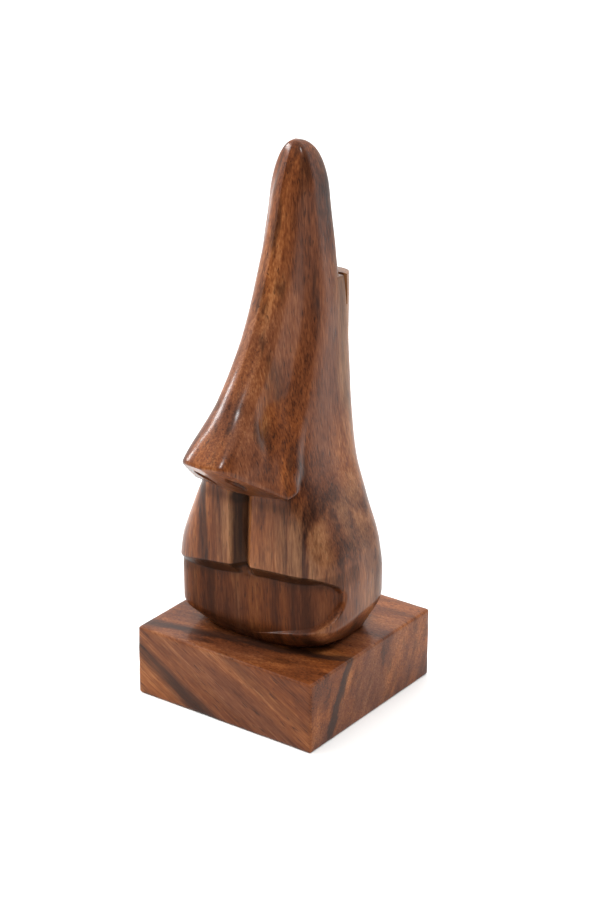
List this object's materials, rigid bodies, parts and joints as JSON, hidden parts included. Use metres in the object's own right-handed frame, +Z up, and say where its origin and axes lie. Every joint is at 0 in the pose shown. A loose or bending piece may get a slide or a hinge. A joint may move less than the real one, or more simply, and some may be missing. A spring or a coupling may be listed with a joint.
{
  "type": "eyeglasses display stand",
  "caption": "Nose-shaped carved hardwood stand on a rectangular hardwood block; eyeglasses rest on the nose ridge and behind the neck.",
  "frame": {"origin": "centre of the block's underside, where the stand rests", "axes": "+Z up, -Y the front (the way the nose points), +X to the right of someone looking along +Y"},
  "size_m": [0.0572, 0.068, 0.1516],
  "materials": {
    "carved_wood": "varnished reddish-brown rosewood with dark streaks, satin to gloss",
    "block_wood": "satin reddish-brown rosewood with diagonal dark and golden bands",
    "screw_steel": "plain steel",
    "dowel_wood": "unfinished pale hardwood"
  },
  "bodies": {
    "root": {"carved_nose": "carved_wood", "base_block": "block_wood", "base_screw": "screw_steel", "locating_dowel": "dowel_wood"}
  },
  "joints": []
}
